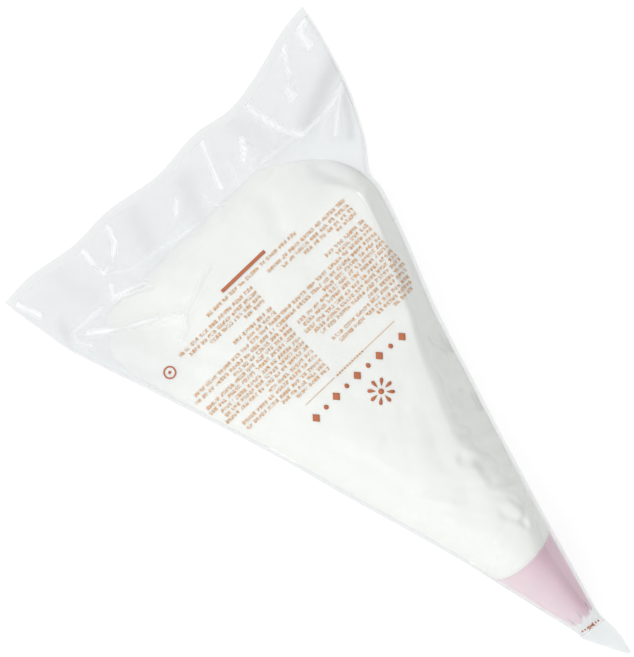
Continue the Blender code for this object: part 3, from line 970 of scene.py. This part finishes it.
def cream_shape(u, v):
    """Points of the cream: u goes round, v from inside the nozzle to the mouth."""
    rim = RIM_SLANT + STEM_CLEARANCE
    slant = STEM_SLANT + (rim - STEM_SLANT) * np.clip(v / STEM_SHARE, 0.0, 1.0)
    share = np.clip((v - STEM_SHARE) / (1.0 - STEM_SHARE), 0.0, 1.0)
    return np.where((v <= STEM_SHARE)[:, None], stem_points(u, slant), body_points(u, share))


class PIPINGBAG_OT_cream(bpy.types.Operator):
    """Build the whipped cream that fills the bag, with its stem inside the nozzle"""
    bl_idname = "piping_bag.cream"
    bl_label = "Cream"

    def execute(self, context):
        builder = shaped_grid(220, 240, cream_shape)
        bmesh.ops.remove_doubles(builder, verts=builder.verts, dist=0.000002)
        bmesh.ops.holes_fill(builder, edges=[e for e in builder.edges if e.is_boundary], sides=0)
        bmesh.ops.recalc_face_normals(builder, faces=builder.faces)
        builder.normal_update()
        x, s = ruler_places(builder.verts)
        upward = ease(np.array([vert.normal.z for vert in builder.verts]), 0.0, 0.25)
        push = body_relief(x, s, True) * upward
        push = np.where(push > 0.0, push * ease(s, 104.0, 112.0), push)
        lift = flap_relief(x, s, True) * upward
        for vert, amount, rise in zip(builder.verts, push, lift):
            vert.co += (vert.normal * float(amount) + Vector((0.0, 0.0, float(rise)))) * MM
        cream = solid_material(
            "whipped cream", tuple(settings().cream_colour), 0.6, 28.0, 0.02, 0.08, 240.0,
            Specular_IOR_Level=0.25)
        piece = add_piece("cream", builder, cream, "filled_bag", smooth_angle=180.0)
        left_corner = ease(-x, 82.0, 112.0) * ease(s, 325.0, 350.0)
        right_corner = ease(x, 45.0, 80.0) * ease(s, 352.0, 380.0)
        thin = np.maximum(np.maximum(left_corner, right_corner), 0.8 * ease(s, 394.0, 408.0))
        store(piece, "thin", thin)
        grey_where_thin(cream)
        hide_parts("cream_fill")
        return {"FINISHED"}


class PIPINGBAG_OT_nozzle(bpy.types.Operator):
    """Build the moulded star nozzle that is enclosed in the tip"""
    bl_idname = "piping_bag.nozzle"
    bl_label = "Star Nozzle"

    def execute(self, context):
        end = END_SLANT * math.cos(CONE_ANGLE)
        profile = self.profile(end)
        builder = bmesh.new()
        verts = [builder.verts.new((radius * MM, 0.0, height * MM)) for radius, height in profile]
        edges = [builder.edges.new(pair) for pair in zip(verts, verts[1:] + verts[:1])]
        bmesh.ops.spin(builder, geom=verts + edges, axis=(0, 0, 1), cent=(0, 0, 0), steps=128,
                       angle=2 * math.pi, use_merge=True)
        bmesh.ops.recalc_face_normals(builder, faces=builder.faces)
        plastic = solid_material(
            "pink moulded plastic", tuple(settings().nozzle_colour), 0.5, 60.0, 0.05, 0.05, 700.0,
            Subsurface_Weight=0.2, Subsurface_Scale=0.003, Specular_IOR_Level=0.4)
        nozzle = add_piece("nozzle_cone", builder, plastic)
        nozzle.data.transform(cone_matrix())
        self.cut_teeth(nozzle, end)
        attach(nozzle, "nozzle")
        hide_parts("star_nozzle")
        return {"FINISHED"}

    @staticmethod
    def profile(end):
        """Radius and height round the wall: the lip, then down the outside and up the inside."""
        slope, rim = math.tan(CONE_ANGLE), RIM_SLANT * math.cos(CONE_ANGLE)
        wall = NOZZLE_WALL / math.cos(CONE_ANGLE)
        edge, below_lip, steps = rim * slope, rim - 1.8, 14
        points = [(edge - wall, rim), (edge - 0.3, rim), (edge, rim - 0.3), (edge, rim - 1.3),
                  (edge - 0.35 - 1.7 * slope, below_lip)]
        for step in range(1, steps + 1):
            height = below_lip + (end - rim + 1.8) * step / steps
            points.append((height * slope - 0.02, height))
        for step in range(steps):
            height = end + (rim - end) * step / steps
            points.append((height * slope - wall, height))
        return points

    @staticmethod
    def cut_teeth(nozzle, end):
        """Cuts pointed teeth into the narrow end, two at a time with a wedge across it."""
        for index in range(TEETH // 2):
            builder = bmesh.new()
            bmesh.ops.create_cube(builder, size=1.0)
            for vert in builder.verts:
                low = vert.co.z < 0
                vert.co = Vector((vert.co.x * 28.0, vert.co.y * (TOOTH_GAP if low else TOOTH_ROOT),
                                  end - 2.0 if low else end + TOOTH_DEPTH)) * MM
            mesh = bpy.data.meshes.new("tooth_wedge")
            builder.to_mesh(mesh)
            builder.free()
            turn = Matrix.Rotation(index * 2 * math.pi / TEETH, 4, "Z")
            mesh.transform(cone_matrix() @ turn)
            cutter = bpy.data.objects.new("tooth_wedge", mesh)
            bpy.context.scene.collection.objects.link(cutter)
            cut = nozzle.modifiers.new("teeth", "BOOLEAN")
            cut.operation = "DIFFERENCE"
            cut.solver = "EXACT"
            cut.object = cutter
            bpy.context.view_layer.update()
            evaluated = nozzle.evaluated_get(bpy.context.evaluated_depsgraph_get())
            cleaned = bpy.data.meshes.new_from_object(evaluated)
            nozzle.modifiers.clear()
            nozzle.data = cleaned
            bpy.data.objects.remove(cutter)
        nozzle.data.set_sharp_from_angle(angle=math.radians(40))


def tail_shape(up):
    """Placing function for one sheet of the flat tail beyond the fold."""
    def shape(u, v):
        t = 1.0 - v
        left_end, right_end = EDGES.at(np.full_like(t, TAIL_FOLD_S))
        left = TIP_LEFT + t * (left_end - TIP_LEFT)
        right = TIP_RIGHT + t * (right_end - TIP_RIGHT) + TIP_BULGE * np.sin(np.pi * t)
        x = left + (right - left) * u
        s = t * (TAIL_FOLD_S - TAIL_GAP - TAIL_SKEW * (x - TAIL_FOLD_X))
        to_side = np.minimum(u, 1.0 - u) * (right - left)
        edge = ease(np.minimum(to_side, v * TAIL_LENGTH), 0.0, 2.5)
        puff = 0.12 + 0.3 * edge
        crease = 0.35 * np.exp(-((u - 0.62) / 0.06) ** 2) * ease(v, 0.0, 0.3)
        z = TAIL_FOLD_Z - 0.4 * v + (puff if up else -puff) + crease * edge
        return placed(x, s, z)
    return shape


class PIPINGBAG_OT_tail(bpy.types.Operator):
    """Build the flat tail of film that is cut off before use"""
    bl_idname = "piping_bag.tail"
    bl_label = "Tail"

    def execute(self, context):
        film = film_material("tail film", 0.05, (0.955, 0.962, 0.964), marked=False)
        sheets = (("tail_top", "tail_front", True), ("tail_under", "tail_back", False))
        for name, node, up in sheets:
            builder = shaped_grid(40, 60, tail_shape(up))
            if up:
                bmesh.ops.reverse_faces(builder, faces=builder.faces)
            tail = add_piece(name, builder, film, "tip_tail", smooth_angle=180.0)
            give_wall(tail, settings().film_thickness / MM)
            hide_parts(node)
        return {"FINISHED"}


# ---- print

# Ink: its distance to the film and its thickness. Print is dropped on to the film from above.
INK_LIFT = 0.05
INK_THICKNESS = 0.03
ABOVE_BAG_Z = 80.0


def film_tree():
    """Search tree over the front sheet, so that print can be laid on it."""
    sheet = bpy.data.objects["front_sheet"]
    evaluated = sheet.evaluated_get(bpy.context.evaluated_depsgraph_get())
    mesh = evaluated.to_mesh()
    points, faces = [v.co[:] for v in mesh.vertices], [p.vertices[:] for p in mesh.polygons]
    tree = BVHTree.FromPolygons(points, faces)
    evaluated.to_mesh_clear()
    return tree


def lay_on_film(builder, tree):
    """Drops flat print, drawn in x and s, on to the film. Removes what misses it."""
    missed = []
    for vert in builder.verts:
        x, s = vert.co.x, vert.co.y
        start = Vector(placed(np.array(x), np.array(s), np.array(ABOVE_BAG_Z)))
        hit, normal, _, _ = tree.ray_cast(start, Vector((0, 0, -1)))
        if hit is None:
            missed.append(vert)
        else:
            vert.co = hit + normal * INK_LIFT * MM
    bmesh.ops.delete(builder, geom=missed, context="VERTS")


def strip(builder, x0, x1, s, height, step):
    """Draws a bar along x, cut into short faces so that it follows the film."""
    count = max(1, round(abs(x1 - x0) / step))
    made = bmesh.ops.create_grid(builder, x_segments=count, y_segments=1, size=0.5)["verts"]
    bmesh.ops.scale(builder, vec=(abs(x1 - x0), height, 1.0), verts=made)
    bmesh.ops.translate(builder, vec=((x0 + x1) / 2, s, 0.0), verts=made)


def disc(builder, x, s, radius, segments, stretch=(1.0, 1.0)):
    """Draws a filled disc, or a lozenge where it has four segments."""
    made = bmesh.ops.create_circle(builder, cap_ends=True, radius=radius, segments=segments)
    made = made["verts"]
    bmesh.ops.scale(builder, vec=(*stretch, 1.0), verts=made)
    bmesh.ops.translate(builder, vec=(x, s, 0.0), verts=made)


def draw_bar(builder):
    """A plain bar in place of a heading."""
    strip(builder, -31.0, 8.0, 361.9, 2.4, 1.0)


def draw_rules(builder):
    """Two fine rules with a row of tiny dashes between them."""
    s = 269.5
    for x0, x1 in ((11.0, 38.0), (-42.0, -16.0)):
        strip(builder, x0, x1, s, 0.35, 1.5)
    for index in range(11):
        x = -14.2 + index * 2.25
        strip(builder, x, x + 1.4, s, 1.1, 0.7)


# Rows of marks in the left block: s and left end. The right block repeats them BLOCK_STEP on.
BLOCK_RIGHT = -15
BLOCK_STEP = 84.0
SMALL_PRINT_ROWS = (
    (350.0, -77), (346.1, -74), (342.2, -57), (338.3, -33), (331.5, -46), (327.6, -42),
    (323.7, -94), (319.8, -92), (315.9, -62), (312.0, -92), (308.1, -90), (304.2, -89),
    (300.3, -88), (296.4, -86), (292.5, -48), (288.4, -84), (284.5, -82), (280.6, -52),
    (276.7, -40),
)


def inked_cells(cell, x_low, s_low):
    """Cells of the small print's grid that carry ink, as column and row."""
    inked = set()
    rows = [(s, BLOCK_RIGHT + step, left + step)
            for step in (0.0, BLOCK_STEP) for s, left in SMALL_PRINT_ROWS]
    rows.append((356.6, 31, -47))
    for number, (s, right, left) in enumerate(rows):
        chance = random.Random(100 + number)
        x = min(right, float(SHOULDER_LINE.at(s)) + 6.0)
        row = round((s - s_low) / cell)
        while x > max(left, float(EDGES.at(s)[0]) + 8.0):
            for _ in range(chance.choice((2, 3, 3, 4, 5))):
                column = round((x - x_low) / cell)
                for i in range(4):
                    for j in range(5):
                        if chance.random() < (0.66 if (i + j) % 2 == 0 else 0.36):
                            inked.add((column - i, row + j - 2))
                x -= 5 * cell
            x -= 3 * cell
    return inked


def draw_small_print(builder):
    """Rows of meaningless marks: one fine grid over both blocks, with most cells removed."""
    cell, x_low, x_high, s_low, s_high = 0.47, -98.0, 72.0, 274.0, 360.0
    across, along = round((x_high - x_low) / cell), round((s_high - s_low) / cell)
    bmesh.ops.create_grid(builder, x_segments=across, y_segments=along, size=0.5)
    bmesh.ops.scale(builder, vec=(across * cell, along * cell, 1.0), verts=builder.verts)
    middle = ((x_low + x_high) / 2, (s_low + s_high) / 2, 0.0)
    bmesh.ops.translate(builder, vec=middle, verts=builder.verts)
    inked = inked_cells(cell, x_low, s_low)
    blank = []
    for face in builder.faces:
        x, s, _ = face.calc_center_median()
        if (int((x - x_low) / cell), int((s - s_low) / cell)) not in inked:
            blank.append(face)
    bmesh.ops.delete(builder, geom=blank, context="FACES")


def draw_garland(builder):
    """A shallow arc of lozenges and dots in place of a name."""
    for index in range(9):
        x = -43.0 + index * 9.7
        s = 258.3 + 2.0 * math.sin(math.pi * (x + 47.0) / 85.0)
        tall, segments = ((3.4, 4), (1.7, 16))[index % 2]
        disc(builder, x, s, 1.0, segments, (tall * 0.9, tall))
    bmesh.ops.subdivide_edges(builder, edges=builder.edges, cuts=3, use_grid_fill=True)


def draw_rosette(builder):
    """A piped rosette: a ring of drop-shaped petals round a small disc."""
    middle_s, petals = 242.0, 8
    for index in range(petals):
        made = bmesh.ops.create_circle(builder, cap_ends=True, radius=1.0, segments=24)["verts"]
        for vert in made:
            pinch = 0.55 + 0.45 * vert.co.y
            vert.co = Vector((vert.co.x * 1.75 * pinch, vert.co.y * 2.9 + 6.2, 0.0))
        turn = Matrix.Rotation(index * 2 * math.pi / petals, 4, "Z")
        turn = Matrix.Translation((0.0, middle_s, 0.0)) @ turn
        bmesh.ops.transform(builder, matrix=turn, verts=made)
    disc(builder, 0.0, middle_s, 1.9, 24)


def draw_cut_line(builder):
    """Dashes across the neck where the tip is cut off, with a small crossed mark between them."""
    for index in (0, 1, 2, 4, 5, 6):
        x = -13.6 + index * 2.1
        strip(builder, x, x + 1.1, 31.4 - 0.17 * (x + 6.5), 1.5, 0.5)
    for lean in (-1.0, 1.0):
        made = bmesh.ops.create_grid(builder, x_segments=8, y_segments=1, size=0.5)
        for vert in made["verts"]:
            along, side = vert.co.x * 4.8, vert.co.y * 1.2
            vert.co = Vector((-6.4 + along, 31.2 + along * 0.55 * lean + side, 0.0))


def draw_ring_mark(builder):
    """A plain ring with a dot, small, near the left edge."""
    x, s = -93.0, 347.0
    bmesh.ops.create_grid(builder, x_segments=48, y_segments=2, size=0.5)
    for vert in builder.verts:
        angle, radius = (vert.co.x + 0.5) * 2 * math.pi, 3.9 + vert.co.y * 1.1
        vert.co = Vector((x + radius * math.cos(angle), s + radius * math.sin(angle), 0.0))
    bmesh.ops.remove_doubles(builder, verts=builder.verts, dist=0.01)
    disc(builder, x, s, 1.1, 16)


class PIPINGBAG_OT_print(bpy.types.Operator):
    """Print the generic panel on the front sheet: bars, rules, a rosette and rows of marks"""
    bl_idname = "piping_bag.print"
    bl_label = "Print"

    def execute(self, context):
        looks = settings()
        tree = film_tree()
        ink = solid_material("brown ink", tuple(looks.ink_colour), 0.42, 90.0, 0.12, 0.0, 300.0)
        small = solid_material(
            "small print ink", tuple(looks.small_print_colour), 0.45, 90.0, 0.2, 0.0, 300.0)
        for name, draw, material in (
                ("print_bar", draw_bar, ink), ("print_rules", draw_rules, small),
                ("small_print", draw_small_print, small), ("print_garland", draw_garland, ink),
                ("print_rosette", draw_rosette, ink), ("print_ring_mark", draw_ring_mark, ink),
                ("print_cut_line", draw_cut_line, ink)):
            builder = bmesh.new()
            draw(builder)
            lay_on_film(builder, tree)
            piece = add_piece(name, builder, material, "filled_bag", smooth_angle=180.0)
            give_wall(piece, INK_THICKNESS, 1.0)
        return {"FINISHED"}


# ---- stage

# Camera over the bag: what it sees of the height it looks at, in metres, and how it is turned.
LENS = 200.0
SENSOR = 36.0
VIEW_HEIGHT = 0.4356
VIEW_MIDDLE = (-0.0010, 0.0692, 0.02)
VIEW_RIGHT = Vector((0.724549, -0.689223, 0.0))


class PIPINGBAG_OT_stage(bpy.types.Operator):
    """Set the floor, the lights and the camera that looks straight down"""
    bl_idname = "piping_bag.stage"
    bl_label = "Stage"

    def execute(self, context):
        looks = settings()
        scene = context.scene
        builder = bmesh.new()
        bmesh.ops.create_grid(builder, x_segments=4, y_segments=4, size=4.0)
        bmesh.ops.translate(builder, vec=(0.0, 0.0, -0.0003), verts=builder.verts)
        pale = solid_material(
            "pale floor", (0.26, 0.26, 0.26), 0.9, 2.0, 0.01, 0.0, 10.0,
            Emission_Color=(1.0, 1.0, 1.0, 1.0), Emission_Strength=looks.floor_glow,
            Specular_IOR_Level=0.0)
        floor = add_piece("floor", builder, pale)

        self.room_light(looks)
        scene.view_settings.view_transform = "Standard"

        self.area_light("key", (-0.95, 0.40, 1.25), 0.9, looks.key_power, glossy=False)
        for number, angle in enumerate((150.0, 205.0)):
            turn = math.radians(angle)
            spot = (1.15 * math.cos(turn), 1.15 * math.sin(turn) + 0.1, 1.30)
            self.area_light(f"glint_{number}", spot, 0.5, looks.glint_power, glossy=True)

        camera_data = bpy.data.cameras.new("camera")
        camera_data.lens = LENS
        camera_data.sensor_width = SENSOR
        camera_data.clip_end = 20.0
        camera = bpy.data.objects.new("camera", camera_data)
        scene.collection.objects.link(camera)
        x, y, z = VIEW_MIDDLE
        spot = Vector((x, y, z + VIEW_HEIGHT * LENS / SENSOR))
        up = Vector((-VIEW_RIGHT.y, VIEW_RIGHT.x, 0.0))
        turn = Matrix((VIEW_RIGHT, up, VIEW_RIGHT.cross(up))).transposed().to_4x4()
        camera.matrix_world = Matrix.Translation(spot) @ turn
        scene.camera = camera
        return {"FINISHED"}

    @staticmethod
    def room_light(looks):
        """An evenly lit room with a dark side low on the bag's right."""
        world = bpy.data.worlds.new("room light")
        world.use_nodes = True
        nodes = world.node_tree.nodes
        along = add_node(nodes, "ShaderNodeVectorMath", operation="DOT_PRODUCT")
        along.inputs[1].default_value = Vector((0.95, -0.31, 0.0)).normalized()
        link(nodes.new("ShaderNodeTexCoord").outputs["Generated"], along.inputs[0])
        spread = add_node(
            nodes, "ShaderNodeMapRange", interpolation_type="SMOOTHSTEP", From_Min=0.40,
            From_Max=0.85, To_Min=looks.sky_bright, To_Max=looks.sky_dark)
        link(along.outputs["Value"], spread.inputs["Value"])
        link(spread.outputs["Result"], nodes["Background"].inputs["Strength"])
        nodes["Background"].inputs["Color"].default_value = (1.0, 1.0, 1.0, 1.0)
        bpy.context.scene.world = world

    @staticmethod
    def area_light(name, position, size, power, glossy):
        """A round light that shines at the bag."""
        data = bpy.data.lights.new(name, "AREA")
        data.shape = "DISK"
        data.size = size
        data.energy = power
        light = bpy.data.objects.new(name, data)
        light.location = position
        light.rotation_euler = (-Vector(position)).to_track_quat("-Z", "Y").to_euler()
        light.visible_glossy = glossy
        bpy.context.scene.collection.objects.link(light)


class PIPINGBAG_PT_panel(bpy.types.Panel):
    """Buttons and settings for the bag, in the 3D view's sidebar"""
    bl_label = "Piping Bag"
    bl_idname = "PIPINGBAG_PT_panel"
    bl_space_type = "VIEW_3D"
    bl_region_type = "UI"
    bl_category = "Piping Bag"

    def draw(self, context):
        column = self.layout.column()
        for name in PipingBagSettings.__annotations__:
            column.prop(context.scene.piping_bag, name)
        for operator in OPERATORS:
            column.operator(operator.bl_idname)


OPERATORS = (
    PIPINGBAG_OT_stage,
    PIPINGBAG_OT_film,
    PIPINGBAG_OT_welds,
    PIPINGBAG_OT_cream,
    PIPINGBAG_OT_nozzle,
    PIPINGBAG_OT_tail,
    PIPINGBAG_OT_print,
)
CLASSES = (PipingBagSettings, *OPERATORS, PIPINGBAG_PT_panel)


def register():
    """Adds the settings, the operators and the panel to Blender."""
    for cls in CLASSES:
        bpy.utils.register_class(cls)
    bpy.types.Scene.piping_bag = PointerProperty(type=PipingBagSettings)


def unregister():
    """Takes them away again."""
    del bpy.types.Scene.piping_bag
    for cls in reversed(CLASSES):
        bpy.utils.unregister_class(cls)


def main():
    """Builds the whole scene."""
    register()
    for operator in OPERATORS:
        group, action = operator.bl_idname.split(".")
        getattr(getattr(bpy.ops, group), action)()


if __name__ == "__main__":
    main()
